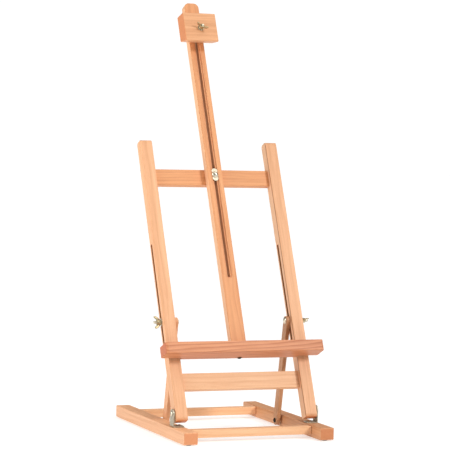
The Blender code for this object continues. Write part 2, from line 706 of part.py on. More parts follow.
def strut(label, side):
    outline = stadium(-STRUT_WIDTH / 2, STRUT_LENGTH + STRUT_WIDTH / 2, STRUT_WIDTH / 2, 12)
    centre = side * (STRUT_INSIDE + STRUT_THICKNESS / 2)
    shape = prism(outline, "X", -STRUT_THICKNESS / 2, STRUT_THICKNESS / 2)
    item = add_object(f"{label}_strut", shape, strut_axis, (centre, 0, 0), beech)
    ease_edges(item, 0.6 * MM)
    reach = STRUT_THICKNESS
    hole(item, (centre, 0, 0), M5 + HOLE_PLAY, "X", -reach, reach)
    hole(item, (centre, 0, STRUT_LENGTH), M6 + HOLE_PLAY, "X", -reach, reach)

    inward = facing(-side)
    head = side * (STRUT_INSIDE - GAP)
    length = RUNNER_INSIDE - STRUT_INSIDE + PIVOT_GRIP
    name = f"{label}_strut_pivot_screw"
    screw(name, PIVOT_HEAD, M5, length, strut_axis, (head, 0, 0), dark_steel, inward)
    spacer = RUNNER_INSIDE - STRUT_OUTSIDE - 2 * GAP
    at = (side * (STRUT_OUTSIDE + GAP), 0, 0)
    name = f"{label}_strut_spacer"
    washer(name, SPACER_RADIUS, M5 + HOLE_PLAY, spacer, strut_axis, at, zinc, facing(side))
    at = (head, 0, STRUT_LENGTH)
    name = f"{label}_slot_bolt_head"
    screw(name, SLOT_HEAD, M6, STRUT_THICKNESS, strut_axis, at, zinc, inward)


def slot_bolt(label, side):
    height = BOLT_AT_REST
    at = on_frame(side * UPRIGHT_INSIDE, height, -SLOT_FROM_FRONT)
    shank = pin(M6, UPRIGHT_WIDTH - GAP, GAP)
    turned(f"{label}_slot_shank", shank, hinge_axis, at, zinc, facing(side))
    outside = FRAME_WIDTH / 2 + GAP
    at = on_frame(side * outside, height, -SLOT_FROM_FRONT)
    name = f"{label}_slot_washer"
    washer(name, LARGE_WASHER, M6 + HOLE_PLAY, WASHER, hinge_axis, at, zinc, facing(side))
    end = pin(M6, WASHER + GAP + WING_HEIGHT, 0)
    turned(f"{label}_slot_bolt_end", end, hinge_axis, at, zinc, facing(side))
    at = on_frame(side * (outside + WASHER + GAP), height, -SLOT_FROM_FRONT)
    spin = math.pi / 2 if side > 0 else 0
    wing_nut(f"{label}_strut_wing_nut", M6, hinge_axis, at, (0, side * math.pi / 2, spin))


for label, side in SIDES:
    runner(label, side)
    hinge_bracket(label, side)
    hinge_screw(label, side)
    upright(label, side)
    strut(label, side)
    slot_bolt(label, side)
    foot_pad(f"front_{label}_foot_pad", side, PAD_INSET)
    foot_pad(f"rear_{label}_foot_pad", side, RUNNER_LENGTH - PAD_INSET)
cross_rail("front_cross_rail", RAIL_SETBACKS[0])
cross_rail("rear_cross_rail", RAIL_SETBACKS[1])
crossbar("lower_crossbar", LOWER_BAR_HEIGHT, pale_beech)
mast_bolt(crossbar("upper_crossbar", UPPER_BAR_HEIGHT, rosy_beech))
mast()
tray()
clamp()
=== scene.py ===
import json
import math

import bmesh
import bpy
import numpy as np
from mathutils import Matrix, Vector

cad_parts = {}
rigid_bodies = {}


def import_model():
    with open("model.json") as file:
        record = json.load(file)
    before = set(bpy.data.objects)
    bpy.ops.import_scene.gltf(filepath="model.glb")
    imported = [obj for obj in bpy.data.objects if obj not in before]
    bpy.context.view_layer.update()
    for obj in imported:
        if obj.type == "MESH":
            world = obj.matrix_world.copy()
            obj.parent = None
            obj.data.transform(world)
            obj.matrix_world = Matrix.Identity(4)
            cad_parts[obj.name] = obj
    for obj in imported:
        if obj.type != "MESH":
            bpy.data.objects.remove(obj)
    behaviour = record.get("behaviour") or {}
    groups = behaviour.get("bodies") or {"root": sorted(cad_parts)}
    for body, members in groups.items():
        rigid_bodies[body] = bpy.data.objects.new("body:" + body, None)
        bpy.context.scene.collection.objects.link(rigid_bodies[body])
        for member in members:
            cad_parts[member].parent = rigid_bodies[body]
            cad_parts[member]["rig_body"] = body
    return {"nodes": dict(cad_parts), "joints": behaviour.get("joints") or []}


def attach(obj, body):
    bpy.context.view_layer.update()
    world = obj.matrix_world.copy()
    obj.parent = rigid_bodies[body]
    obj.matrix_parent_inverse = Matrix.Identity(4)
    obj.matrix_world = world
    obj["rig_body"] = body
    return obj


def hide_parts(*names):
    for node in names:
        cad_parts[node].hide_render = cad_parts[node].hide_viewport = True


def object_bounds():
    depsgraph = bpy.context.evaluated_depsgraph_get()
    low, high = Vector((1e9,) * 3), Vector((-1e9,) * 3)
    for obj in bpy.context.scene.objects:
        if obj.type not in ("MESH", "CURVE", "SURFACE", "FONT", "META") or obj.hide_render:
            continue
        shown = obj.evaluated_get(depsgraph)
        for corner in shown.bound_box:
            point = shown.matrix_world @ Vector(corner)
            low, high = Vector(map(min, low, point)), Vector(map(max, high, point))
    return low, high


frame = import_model()
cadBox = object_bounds()
nodes = frame["nodes"]
joints = {joint["name"]: joint for joint in frame["joints"]}
upFrame = Vector(joints["mast_slide"]["axis"])  # along the leaning frame
outFrame = Vector(joints["clamp_nut_spin"]["axis"])  # square to the frame, towards the painter
leanAngle = math.atan2(upFrame.y, upFrame.z)
toLeft, toRight, upwards = Vector((-1, 0, 0)), Vector((1, 0, 0)), Vector((0, 0, 1))
print("loaded", len(nodes), "parts, box", cadBox)


def newTree(name):
    material = bpy.data.materials.new(name)
    material.use_nodes = True
    tree = material.node_tree
    return material, tree, tree.nodes["Principled BSDF"]


# Adds a node and fills its inputs by name, or by number as n0, n1 and so on.
# A value that is another node's socket is linked, and any other is set.
def addNode(tree, kind, settings=None, **inputs):
    node = tree.nodes.new(kind)
    for key, value in (settings or {}).items():
        setattr(node, key, value)
    for key, value in inputs.items():
        numbered = key[0] == "n" and key[1:].isdigit()
        socket = node.inputs[int(key[1:]) if numbered else key]
        if isinstance(value, bpy.types.NodeSocket):
            tree.links.new(value, socket)
        else:
            socket.default_value = value
    return node


def mathNode(tree, operation, a, b=0.0, clamp=False):
    settings = {"operation": operation, "use_clamp": clamp}
    return addNode(tree, "ShaderNodeMath", settings, n0=a, n1=b).outputs[0]


def vectorMath(tree, operation, a, b=(0.0, 0.0, 0.0)):
    node = addNode(tree, "ShaderNodeVectorMath", {"operation": operation}, n0=a, n1=b)
    return node.outputs["Value"] if operation in ("DOT_PRODUCT", "LENGTH") else node.outputs[0]


def mixColour(tree, amount, a, b):
    return addNode(tree, "ShaderNodeMix", {"data_type": "RGBA"}, n0=amount, n6=a, n7=b).outputs[2]


def remap(tree, value, low, high, toLow=0.0, toHigh=1.0):
    limits = {"n1": low, "n2": high, "n3": toLow, "n4": toHigh}
    return addNode(tree, "ShaderNodeMapRange", {"clamp": True}, n0=value, **limits).outputs[0]


def noise(tree, place, scale, detail, roughness=0.5):
    return addNode(tree, "ShaderNodeTexNoise", Vector=place, Scale=scale, Detail=detail, Roughness=roughness)


def stretched(tree, place, alongGrain):  # draws a pattern out along the grain
    return addNode(tree, "ShaderNodeMapping", Vector=place, Scale=(1, 1, alongGrain)).outputs[0]


def vertsOf(name):
    mesh = nodes[name].data
    points = np.empty(len(mesh.vertices) * 3, np.float32)
    mesh.vertices.foreach_get("co", points)
    return points.reshape(-1, 3).astype(float)


def paint(node, finish):  # the whole surface of a solid part
    for place in node.material_slots:
        place.material = finish
    if not node.material_slots:
        node.data.materials.append(finish)


# Lengths are in metres. A pattern's shade is its low and its high, and how dark the wood is at each.
beech = {
    "brightest": 0.98,
    "logStep": 0.37,  # how far along the log each board is cut from the last one
    "ringWidth": 0.0062,
    "ringDark": 0.62,  # of a ring at full strength
    "lateWood": 2.6,  # how sharply a ring darkens towards its edge
    "ringFade": 0.16,  # share of the next ring over which that dark fades
    "wander": 0.018,  # how far the rings stray
    "wanderNoise": (17.0, 2.0),
    "wanderStretch": 0.22,
    "fibreStretch": 0.025,
    "fibreNoise": (620.0, 3.0, 0.62),  # fine streaks along the grain
    "fibreShade": (0.35, 0.7, 0.0, 0.30),
    "bandNoise": (120.0, 2.0),
    "bandShade": (0.35, 0.68, -0.08, 0.30),
    "patchNoise": (9.0, 1.0),
    "patchShade": (0.3, 0.7, -0.16, 0.2),
    "fleckScale": 1150.0,  # the short dark rays of beech
    "fleckStretch": 0.16,
    "fleckShade": (0.10, 0.26, 1.0, 0.0),
    "fleckStrength": 0.32,
    "fleckTint": 0.62,
    "endShade": (0.72, 0.95, 0.0, 0.85),  # cut ends drink more varnish and look darker and pinker
    "endTint": (1.12, 0.95, 0.95),
    "sideEdge": (0.75, 0.95),  # how squarely a face looks left to count as the left side
    # painted light: the paler colour a board's left side is lifted towards, as a lamp on the left lights it
    "paintedLeftLight": (0.93, 0.60, 0.37),
    "paintedLeftLightBoards": {"right_upright": 0.6, "mast": 0.55},  # boards whose left side gets painted light, paler than the front
    "edgeShadeBoard": "right_upright",  # gets painted shade in a dark band down the front of its left side
    "edgeShadeTone": (0.30, 0.10, 0.035),
    "edgeShadeWidth": 0.0044,
    "edgeShadeStrength": 0.8,
    "varnishRough": 0.36,
    "roughSpread": (0.3, 0.75, 0.14),
    "varnish": 0.05,
    "varnishGloss": 0.28,
    "sheen": 0.25,
    "bumpDepth": 0.00012,
    "bumpStrength": 0.35,
    "fleckDepth": 0.7,  # of a fleck against the fibres
}

slotShade = {
    "tone": (0.33, 0.115, 0.038),  # painted shade on a slot's walls, which lie in shadow
    "strength": 0.8,
    "fade": 0.0003,
    "wallEdge": (0.35, 0.65),
    "mastHalf": 0.0031,  # half a slot's width
    "uprightHalf": 0.0036,
}

# Light and dark tone of each sort of board, in linear colour.
beechTones = {
    "peach": ((0.86, 0.475, 0.262), (0.63, 0.285, 0.125)),
    "warm": ((0.84, 0.44, 0.225), (0.60, 0.255, 0.105)),
    "pale": ((0.90, 0.55, 0.315), (0.72, 0.36, 0.175)),
    "rosy": ((0.70, 0.30, 0.145), (0.46, 0.15, 0.06)),
    "honey": ((0.80, 0.375, 0.165), (0.57, 0.21, 0.075)),
}

# Tone, way the grain runs, place of the pith, strength and slope of the rings, lift of the tone. On the right
# runner and right strut a darker tone and lower lift paint shade.
boards = {
    "left_runner": ("peach", "Y", (0.045, 0.060), 0.5, 0.010, 1.0),
    # painted shade: warmer tone and lower lift make it darker than the left runner
    "right_runner": ("warm", "Y", (-0.050, 0.072), 0.6, -0.012, 0.86),
    "front_cross_rail": ("pale", "X", (0.050, 0.030), 0.45, 0.010, 1.0),
    "rear_cross_rail": ("pale", "X", (0.060, -0.030), 0.3, 0.012, 1.06),
    "left_upright": ("peach", "frame", (0.055, 0.052), 0.4, 0.008, 0.98),
    "right_upright": ("peach", "frame", (-0.058, 0.050), 0.4, -0.007, 0.96),
    "upper_crossbar": ("honey", "X", (0.062, 0.040), 0.5, 0.010, 1.0),
    "lower_crossbar": ("pale", "X", (0.070, 0.030), 0.35, 0.008, 0.98),
    "mast": ("honey", "frame", (0.030, 0.060), 0.5, 0.011, 1.0),
    "tray": ("rosy", "X", (0.020, 0.034), 1.3, 0.055, 1.0),
    "clamp_block": ("warm", "X", (0.040, 0.045), 0.35, 0.020, 0.98),
    "left_strut": ("peach", "strut", (0.040, 0.030), 0.45, 0.012, 1.0),
    # painted shade: the low lift darkens it where the upright shades it
    "right_strut": ("warm", "strut", (-0.042, 0.034), 0.45, -0.012, 0.66),
    "left_mast_dowel": ("peach", "frame", (0.030, 0.020), 0.3, 0.0, 1.0),
    "right_mast_dowel": ("peach", "frame", (0.036, 0.022), 0.3, 0.0, 1.0),
}


def strutAngle():
    points = vertsOf("left_strut")
    top = points[points[:, 2].argmax()]
    low = points[points[:, 2].argmin()]
    return math.atan2(top[1] - low[1], top[2] - low[2])


# The turn that lays the rings' axis along a board, and the way the board's ends face.
grains = {
    "X": ((0, -math.pi / 2, 0), toRight),
    "Y": ((math.pi / 2, 0, 0), Vector((0, 1, 0))),
    "frame": ((-leanAngle, 0, 0), upFrame),
    "strut": ((-strutAngle(), 0, 0), upFrame),
}


def growthRings(tree, place, slope):
    parts = addNode(tree, "ShaderNodeSeparateXYZ", n0=place)
    leaning = mathNode(tree, "MULTIPLY", parts.outputs[2], slope)
    across = mathNode(tree, "ADD", parts.outputs[0], leaning)
    flat = addNode(tree, "ShaderNodeCombineXYZ", n0=across, n1=parts.outputs[1])
    radius = vectorMath(tree, "LENGTH", flat.outputs[0])
    ring = mathNode(tree, "FRACT", mathNode(tree, "DIVIDE", radius, beech["ringWidth"]))
    late = mathNode(tree, "POWER", ring, beech["lateWood"])
    return mathNode(tree, "MAXIMUM", late, remap(tree, ring, 0.0, beech["ringFade"], 1.0, 0.0))


# Which way a board's slot is wide, where its middle is, and half its width.
def slotOf(board):
    if board == "mast":
        return toRight, 0.0, slotShade["mastHalf"]
    side = board.split("_")[0]
    bolt = vertsOf(f"{side}_slot_shank") @ np.array(outFrame)
    return outFrame, float((bolt.min() + bolt.max()) / 2), slotShade["uprightHalf"]


# Paints shade on a slot's walls, which lie in shadow, and takes the varnish off them.
def shadedSlot(tree, shader, spot, wood, board):
    across, middle, halfWidth = slotOf(board)
    level = vectorMath(tree, "DOT_PRODUCT", spot.outputs["Object"], across)
    away = mathNode(tree, "ABSOLUTE", mathNode(tree, "SUBTRACT", level, middle))
    inside = remap(tree, away, halfWidth, halfWidth + slotShade["fade"], 1.0, 0.0)
    wall = mathNode(tree, "ABSOLUTE", vectorMath(tree, "DOT_PRODUCT", spot.outputs["Normal"], across))
    mask = mathNode(tree, "MULTIPLY", inside, remap(tree, wall, *slotShade["wallEdge"]))
    tree.links.new(remap(tree, mask, 0.0, 1.0, beech["sheen"], 0.0), shader.inputs["Specular IOR Level"])
    tree.links.new(remap(tree, mask, 0.0, 1.0, beech["varnish"], 0.0), shader.inputs["Coat Weight"])
    return mixColour(tree, mathNode(tree, "MULTIPLY", mask, slotShade["strength"]), wood, (*slotShade["tone"], 1))


# Painted light on a board's left side, and painted shade in a band down the front edge of one board's left
# side.
def leftSideLightAndShade(tree, spot, wood, board):
    facingLeft = vectorMath(tree, "DOT_PRODUCT", spot.outputs["Normal"], toLeft)
    leftSide = remap(tree, facingLeft, *beech["sideEdge"])
    # Painted light: the left side is lifted towards a paler colour.
    pale = mathNode(tree, "MULTIPLY", leftSide, beech["paintedLeftLightBoards"][board])
    wood = mixColour(tree, pale, wood, (*beech["paintedLeftLight"], 1))
    # Painted shade in a dark band down the front edge of the left side.
    if board == beech["edgeShadeBoard"]:
        front = float((vertsOf(board) @ np.array(outFrame)).max())
        level = vectorMath(tree, "DOT_PRODUCT", spot.outputs["Object"], outFrame)
        depth = mathNode(tree, "SUBTRACT", front, level)
        width = beech["edgeShadeWidth"]
        frontEdgeShade = remap(tree, depth, width * 0.5, width, beech["edgeShadeStrength"], 0.0)
        wood = mixColour(tree, mathNode(tree, "MULTIPLY", frontEdgeShade, leftSide), wood, (*beech["edgeShadeTone"], 1))
    return wood


# Solid wood: rings round a pith line that runs nearly along the grain, with fibres, bands and flecks.
def beechBoard(board, seed):
    tone, grain, pith, ringStrength, ringSlope, lift = boards[board]
    material, tree, shader = newTree(f"beech_{board}")
    light, dark = [[min(beech["brightest"], c * lift) for c in colour] for colour in beechTones[tone]]
    turn, along = grains[grain]
    spot = tree.nodes.new("ShaderNodeTexCoord")
    lookFrom = {"vector_type": "TEXTURE"}
    turned = addNode(tree, "ShaderNodeMapping", lookFrom, Vector=spot.outputs["Object"], Rotation=turn)
    placed = vectorMath(tree, "ADD", turned.outputs[0], (*pith, beech["logStep"] * seed))

    slow = stretched(tree, placed, beech["wanderStretch"])
    wander = noise(tree, slow, *beech["wanderNoise"]).outputs["Color"]
    centred = vectorMath(tree, "SUBTRACT", wander, (0.5, 0.5, 0.5))
    strayed = vectorMath(tree, "MULTIPLY", centred, (beech["wander"], beech["wander"], 0.0))
    bent = vectorMath(tree, "ADD", placed, strayed)
    drawnOut = stretched(tree, bent, beech["fibreStretch"])
    fibre = noise(tree, drawnOut, *beech["fibreNoise"]).outputs[0]
    band = noise(tree, drawnOut, *beech["bandNoise"]).outputs[0]
    patch = noise(tree, slow, *beech["patchNoise"]).outputs[0]
    dash = stretched(tree, placed, beech["fleckStretch"])
    fleck = addNode(tree, "ShaderNodeTexVoronoi", Vector=dash, Scale=beech["fleckScale"])
    fleckSpot = remap(tree, fleck.outputs["Distance"], *beech["fleckShade"])

    rings = growthRings(tree, bent, ringSlope)
    shade = mathNode(tree, "MULTIPLY", rings, ringStrength * beech["ringDark"])
    shade = mathNode(tree, "ADD", shade, remap(tree, fibre, *beech["fibreShade"]))
    shade = mathNode(tree, "ADD", shade, remap(tree, band, *beech["bandShade"]))
    shade = mathNode(tree, "ADD", shade, remap(tree, patch, *beech["patchShade"]), clamp=True)
    wood = mixColour(tree, shade, (*light, 1), (*dark, 1))
    speck = mathNode(tree, "MULTIPLY", fleckSpot, beech["fleckStrength"])
    wood = mixColour(tree, speck, wood, (*[c * beech["fleckTint"] for c in dark], 1))

    square = mathNode(tree, "ABSOLUTE", vectorMath(tree, "DOT_PRODUCT", spot.outputs["Normal"], along))
    endTone = [c * tint for c, tint in zip(dark, beech["endTint"])]
    wood = mixColour(tree, remap(tree, square, *beech["endShade"]), wood, (*endTone, 1))
    # Painted shade on the slot walls.
    if board == "mast" or "upright" in board:
        wood = shadedSlot(tree, shader, spot, wood, board)
    # Painted light on some boards' left sides, and one board's painted edge shade.
    if board in beech["paintedLeftLightBoards"]:
        wood = leftSideLightAndShade(tree, spot, wood, board)
    tree.links.new(wood, shader.inputs["Base Color"])

    low, high, spread = beech["roughSpread"]
    rough = remap(tree, fibre, low, high, beech["varnishRough"], beech["varnishRough"] + spread)
    tree.links.new(rough, shader.inputs["Roughness"])
    height = mathNode(tree, "SUBTRACT", fibre, mathNode(tree, "MULTIPLY", fleckSpot, beech["fleckDepth"]))
    bump = addNode(
        tree, "ShaderNodeBump", Height=height, Strength=beech["bumpStrength"], Distance=beech["bumpDepth"]
    )
    tree.links.new(bump.outputs[0], shader.inputs["Normal"])
    shader.inputs["Specular IOR Level"].default_value = beech["sheen"]
    shader.inputs["Coat Weight"].default_value = beech["varnish"]
    shader.inputs["Coat Roughness"].default_value = beech["varnishGloss"]
    return material


for seed, board in enumerate(boards, 1):
    paint(nodes[board], beechBoard(board, seed))
print("painted", len(boards), "boards")

metal = {
    "cloudDetail": 4.0,
    "polishDetail": 2.0,
    "fineness": 9,  # how much finer the polish is than the clouds
    "cloudEdge": (0.35, 0.68),
    "polishEdge": (0.3, 0.7),
    "roughSpread": (-0.07, 0.1),
    "bumpStrength": 0.3,
}


def metalFinish(name, light, dark, rough, cloudScale, bumpDepth):
    material, tree, shader = newTree(name)
    spot = tree.nodes.new("ShaderNodeTexCoord").outputs["Object"]
    cloud = noise(tree, spot, cloudScale, metal["cloudDetail"]).outputs[0]
    polish = noise(tree, spot, cloudScale * metal["fineness"], metal["polishDetail"]).outputs[0]
    tone = remap(tree, cloud, *metal["cloudEdge"])
    colour = mixColour(tree, tone, (*light, 1), (*dark, 1))
    tree.links.new(colour, shader.inputs["Base Color"])
    smooth, dull = (rough + change for change in metal["roughSpread"])
    tree.links.new(remap(tree, polish, *metal["polishEdge"], smooth, dull), shader.inputs["Roughness"])
    bump = addNode(tree, "ShaderNodeBump", Height=polish, Strength=metal["bumpStrength"], Distance=bumpDepth)
    tree.links.new(bump.outputs[0], shader.inputs["Normal"])
    shader.inputs["Metallic"].default_value = 1.0
    return material


satinSteel = metalFinish("satin_steel", (0.57, 0.52, 0.42), (0.42, 0.38, 0.29), 0.5, 240.0, 0.00004)
platedSteel = metalFinish("plated_steel", (0.78, 0.73, 0.60), (0.52, 0.46, 0.34), 0.30, 240.0, 0.00003)
castBrass = metalFinish("cast_brass", (0.62, 0.52, 0.32), (0.36, 0.29, 0.16), 0.36, 320.0, 0.00008)
blackSteel = metalFinish("black_steel", (0.05, 0.042, 0.036), (0.02, 0.017, 0.015), 0.42, 300.0, 0.00003)

rubber = {
    "grit": (1400.0, 3.0),
    "gritEdge": (0.3, 0.7),
    "light": (0.02, 0.02, 0.02),
    "dark": (0.05, 0.047, 0.045),
    "rough": (0.65, 0.85),
}


def rubberFinish():
    material, tree, shader = newTree("foot_rubber")
    spot = tree.nodes.new("ShaderNodeTexCoord").outputs["Object"]
    grit = noise(tree, spot, *rubber["grit"]).outputs[0]
    tone = remap(tree, grit, *rubber["gritEdge"])
    colour = mixColour(tree, tone, (*rubber["light"], 1), (*rubber["dark"], 1))
    tree.links.new(colour, shader.inputs["Base Color"])
    tree.links.new(remap(tree, grit, *rubber["gritEdge"], *rubber["rough"]), shader.inputs["Roughness"])
    return material


footRubber = rubberFinish()

# The first name found in a part's own name gives its finish; the rest are plated.
smallParts = {
    "pad": footRubber,
    "wing_nut": castBrass,
    "mast_bolt_plate": satinSteel,
    "bracket": satinSteel,
    "tray_screw": blackSteel,
    "pivot_screw": blackSteel,
}
for name, node in nodes.items():
    if name not in boards:
        paint(node, next((finish for word, finish in smallParts.items() if word in name), platedSteel))
print("painted", len(nodes) - len(boards), "small parts")


# A round part's axis: a point on it level with 0, its low end and its high end.
def axisLine(name, direction):
    direction = Vector(direction).normalized()
    points = vertsOf(name)
    side = direction.orthogonal().normalized()
    other = direction.cross(side)
    centre = Vector((0, 0, 0))
    for across in (side, other):
        spread = points @ np.array(across)
        centre += across * float((spread.min() + spread.max()) / 2)
    along = points @ np.array(direction)
    return centre, float(along.min()), float(along.max())


# Puts local Z on a direction at a point, with local X as level as it can be.
def standing(point, direction, spin=0.0):
    zAxis = Vector(direction).normalized()
    hint = toRight if abs(zAxis.x) < 0.9 else upFrame
    xAxis = (hint - zAxis * hint.dot(zAxis)).normalized()
    yAxis = zAxis.cross(xAxis)
    matrix = Matrix((xAxis, yAxis, zAxis)).transposed().to_4x4()
    matrix.translation = point
    return matrix @ Matrix.Rotation(spin, 4, "Z")


# Turns a profile of radius and height, top first, round local Z.
def lathe(shape, profile, steps=40, closed=False):
    angles = [math.tau * i / steps for i in range(steps)]
    circle = [(math.cos(angle), math.sin(angle)) for angle in angles]
    rings = []
    for radius, height in profile:
        if radius == 0:
            rings.append([shape.verts.new((0, 0, height))])
        else:
            rings.append([shape.verts.new((radius * x, radius * y, height)) for x, y in circle])
    pairs = list(zip(rings, rings[1:]))
    if closed:
        pairs.append((rings[-1], rings[0]))
    for upper, lower in pairs:
        for i in range(steps):
            j = (i + 1) % steps
            if len(upper) == 1:
                shape.faces.new((upper[0], lower[i], lower[j]))
            elif len(lower) == 1:
                shape.faces.new((upper[i], lower[0], upper[j]))
            else:
                shape.faces.new((upper[i], lower[i], lower[j], upper[j]))


def arc(centreRadius, centreHeight, size, start, end, steps):  # a round stretch of a profile, in degrees
    points = []
    for i in range(steps + 1):
        angle = math.radians(start + (end - start) * i / steps)
        points.append((centreRadius + size * math.cos(angle), centreHeight + size * math.sin(angle)))
    return points


def meshOf(shape, name):
    mesh = bpy.data.meshes.new(name)
    shape.to_mesh(mesh)
    shape.free()
    return mesh


def addObject(name, data):
    made = bpy.data.objects.new(name, data)
    bpy.context.scene.collection.objects.link(made)
    return made


def addMesh(shape, mesh, matrix):
    copy = mesh.copy()
    copy.transform(matrix)
    shape.from_mesh(copy)
    bpy.data.meshes.remove(copy)


def bodyOf(name):
    return nodes[name]["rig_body"]


# Stands a new piece in for the solid ones. Edges sharper than the angle stay crisp.
def finishPiece(name, shape, material, body, stands, sharp):
    bmesh.ops.recalc_face_normals(shape, faces=shape.faces)
    mesh = meshOf(shape, name)
    mesh.materials.append(material)
    mesh.shade_smooth()
    mesh.set_sharp_from_angle(angle=math.radians(sharp))
    piece = addObject(name, mesh)
    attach(piece, body)
    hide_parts(*stands)
    return piece


def socketOf(tree, name):
    inputs = [item for item in tree.interface.items_tree if item.in_out == "INPUT"]
    return next(item.identifier for item in inputs if item.name == name)


def newNodeGroup(name, inputs):
    tree = bpy.data.node_groups.new(name, "GeometryNodeTree")
    tree.interface.new_socket("Geometry", in_out="INPUT", socket_type="NodeSocketGeometry")
    for label, kind in inputs.items():
        tree.interface.new_socket(label, in_out="INPUT", socket_type=f"NodeSocket{kind}")
    tree.interface.new_socket("Geometry", in_out="OUTPUT", socket_type="NodeSocketGeometry")
    return tree, tree.nodes.new("NodeGroupInput").outputs, tree.nodes.new("NodeGroupOutput")


def finishTree(tree, geometry, entry, leave):
    real = addNode(tree, "GeometryNodeRealizeInstances", Geometry=geometry)
    coated = addNode(tree, "GeometryNodeSetMaterial", Geometry=real.outputs[0], Material=entry["Finish"])
    tree.links.new(coated.outputs[0], leave.inputs[0])
    return tree


thread = {
    "pitch": 0.0009,
    "depth": 0.00028,
    "steps": 28,  # round one turn
    "ridgeSides": 4,
}


# A ridge wound round a core that stands on local z 0.
def threadTree():
    inputs = dict.fromkeys(("Shank Radius", "Pitch", "Length", "Depth"), "Float")
    tree, entry, leave = newNodeGroup("screwThread", {**inputs, "Finish": "Material"})
    turns = mathNode(tree, "DIVIDE", entry["Length"], entry["Pitch"])
    inner = mathNode(tree, "SUBTRACT", entry["Shank Radius"], entry["Depth"])
    spiral = addNode(
        tree, "GeometryNodeCurveSpiral", Resolution=thread["steps"], Rotations=turns, Height=entry["Length"]
    )
    for end in ("Start Radius", "End Radius"):
        tree.links.new(inner, spiral.inputs[end])
    ridge = addNode(
        tree, "GeometryNodeCurvePrimitiveCircle", Resolution=thread["ridgeSides"], Radius=entry["Depth"]
    )
    wound = addNode(tree, "GeometryNodeCurveToMesh", Curve=spiral.outputs[0])
    tree.links.new(ridge.outputs[0], wound.inputs["Profile Curve"])
    wound.inputs["Fill Caps"].default_value = True
    core = addNode(
        tree, "GeometryNodeMeshCylinder", Vertices=thread["steps"], Radius=inner, Depth=entry["Length"]
    )
    lift = addNode(tree, "ShaderNodeCombineXYZ", n2=mathNode(tree, "MULTIPLY", entry["Length"], 0.5))
    raised = addNode(tree, "GeometryNodeTransform", Geometry=core.outputs[0], Translation=lift.outputs[0])
    both = tree.nodes.new("GeometryNodeJoinGeometry")
    tree.links.new(wound.outputs[0], both.inputs[0])
    tree.links.new(raised.outputs[0], both.inputs[0])
    return finishTree(tree, both.outputs[0], entry, leave)


# A part on each point, its Z along the point's own "facing" and turned by the point's own "spin".
def placedTree():
    tree, entry, leave = newNodeGroup("partsOnPoints", {"Part": "Object", "Finish": "Material"})
    facing = addNode(tree, "GeometryNodeInputNamedAttribute", {"data_type": "FLOAT_VECTOR"}, Name="facing")
    spin = addNode(tree, "GeometryNodeInputNamedAttribute", {"data_type": "FLOAT"}, Name="spin")
    aligned = addNode(tree, "FunctionNodeAlignRotationToVector", {"axis": "Z"}, Vector=facing.outputs[0])
    spun = addNode(tree, "FunctionNodeAxisAngleToRotation", Axis=upwards, Angle=spin.outputs[0])
    own = {"rotation_space": "LOCAL"}
    turned = addNode(tree, "FunctionNodeRotateRotation", own, n0=aligned.outputs[0], n1=spun.outputs[0])
    part = addNode(tree, "GeometryNodeObjectInfo", {"transform_space": "ORIGINAL"}, Object=entry["Part"])
    copies = addNode(
        tree,
        "GeometryNodeInstanceOnPoints",
        Points=entry["Geometry"],
        Instance=part.outputs["Geometry"],
        Rotation=turned.outputs[0],
    )
    return finishTree(tree, copies.outputs[0], entry, leave)


threads = threadTree()
onPoints = placedTree()


def madeBy(tree, start, settings):  # the plain mesh that a tree makes from a start mesh
    holder = addObject("holder", start)
    modifier = holder.modifiers.new("make", "NODES")
    modifier.node_group = tree
    for name, value in settings.items():
        modifier[socketOf(tree, name)] = value
    bpy.context.view_layer.update()
    graph = bpy.context.evaluated_depsgraph_get()
    mesh = bpy.data.meshes.new_from_object(holder.evaluated_get(graph))
    holder.modifiers.clear()
    bpy.data.objects.remove(holder)
    return mesh


def threadMesh(radius, length):
    settings = {
        "Shank Radius": radius - thread["depth"],
        "Pitch": thread["pitch"],
        "Length": length,
        "Depth": thread["depth"],
        "Finish": platedSteel,
    }
    return madeBy(threads, bpy.data.meshes.new("thread"), settings)


# A bolt's four sizes are its head's radius and height, its shank's radius, and the length of its thread.
bolts = {
    "mast": (0.007, 0.0045, 0.0025, 0.024),
    "clamp": (0.0065, 0.0035, 0.0025, 0.026),
    "slot": (0.007, 0.0035, 0.003, 0),
    "slotRadius": 0.003,
    "rim": 0.0006,
    "rimEase": 0.35,  # share of the rim
    "domeSteps": 10,
    "shankSteps": 28,
    "overlap": 0.0002,  # how far a shank reaches into its head
    "tip": 0.0022,  # radius at the threaded end
    "tipBase": 0.0027,
    "tipLength": 0.0008,
    "threadShort": 0.0004,  # how far the thread stops before the end
    "sharp": 38,
}


def domeHead(shape, radius, height):  # a low round head on local z 0
    rim, ease, steps = bolts["rim"], bolts["rimEase"], bolts["domeSteps"]
    ball = (radius**2 + (height - rim) ** 2) / (2 * (height - rim))
    spread = math.asin(min(1.0, radius / ball))
    angles = [spread * i / steps for i in range(steps + 1)]
    profile = [(ball * math.sin(a), height - ball + ball * math.cos(a)) for a in angles]
    profile += [(radius, rim * ease), (radius - rim * ease, 0), (0, 0)]
    lathe(shape, profile)


def roundHeadBolt(name, sizes, direction):
    headRadius, headHeight, radius, threadLength = sizes
    centre, low, high = axisLine(name, direction)
    neck = high - low - headHeight - threadLength
    shape = bmesh.new()
    domeHead(shape, headRadius, headHeight)
    lathe(shape, [(0, bolts["overlap"]), (radius, 0), (radius, -neck), (0, -neck)], bolts["shankSteps"])
    made = bmesh.new()
    addMesh(made, meshOf(shape, "bolt"), standing(centre + direction * (high - headHeight), direction))
    if threadLength > 0:
        addMesh(made, threadMesh(radius, threadLength), standing(centre + direction * low, direction))
    finishPiece(f"{name}_fine", made, platedSteel, bodyOf(name), [name], bolts["sharp"])


